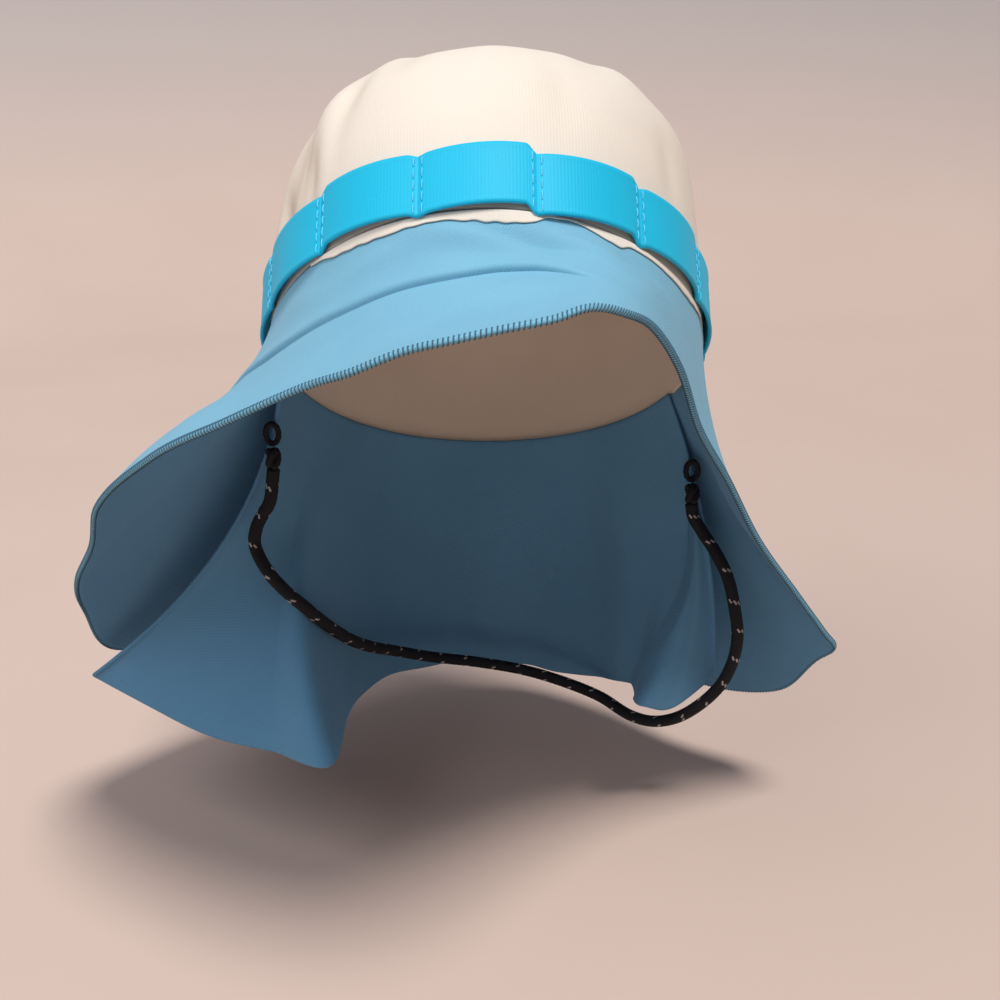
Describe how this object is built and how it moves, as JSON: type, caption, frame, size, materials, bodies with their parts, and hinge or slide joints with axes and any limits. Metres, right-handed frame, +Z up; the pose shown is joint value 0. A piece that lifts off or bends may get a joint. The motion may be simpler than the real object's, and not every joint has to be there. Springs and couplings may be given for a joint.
{
  "type": "sun hat",
  "caption": "Soft cloth sun hat: domed cream crown, tacked blue ribbon, wide drooping brim, hanging neck cape and a black chin cord.",
  "frame": {"origin": "middle of the head opening, where crown, brim and cape meet; the front of the opening is tilted up by 38 degrees as worn", "axes": "+Z up, -Y to the front of the hat, +X to the wearer's left"},
  "size_m": [0.3107, 0.2647, 0.2869],
  "materials": {
    "crown_cloth": "matt cream cotton",
    "ribbon_webbing": "soft sheen ribbed webbing",
    "brim_cloth": "matt twill with darker stitching",
    "cord": "matt braided cord"
  },
  "bodies": {
    "root": {"crown": "crown_cloth", "ribbon": "ribbon_webbing", "brim": "brim_cloth", "neck_cape": "brim_cloth", "cord_loop_right": "cord", "cord_loop_left": "cord", "cord_knot_right": "cord", "cord_knot_left": "cord", "chin_cord": "cord"}
  },
  "joints": []
}
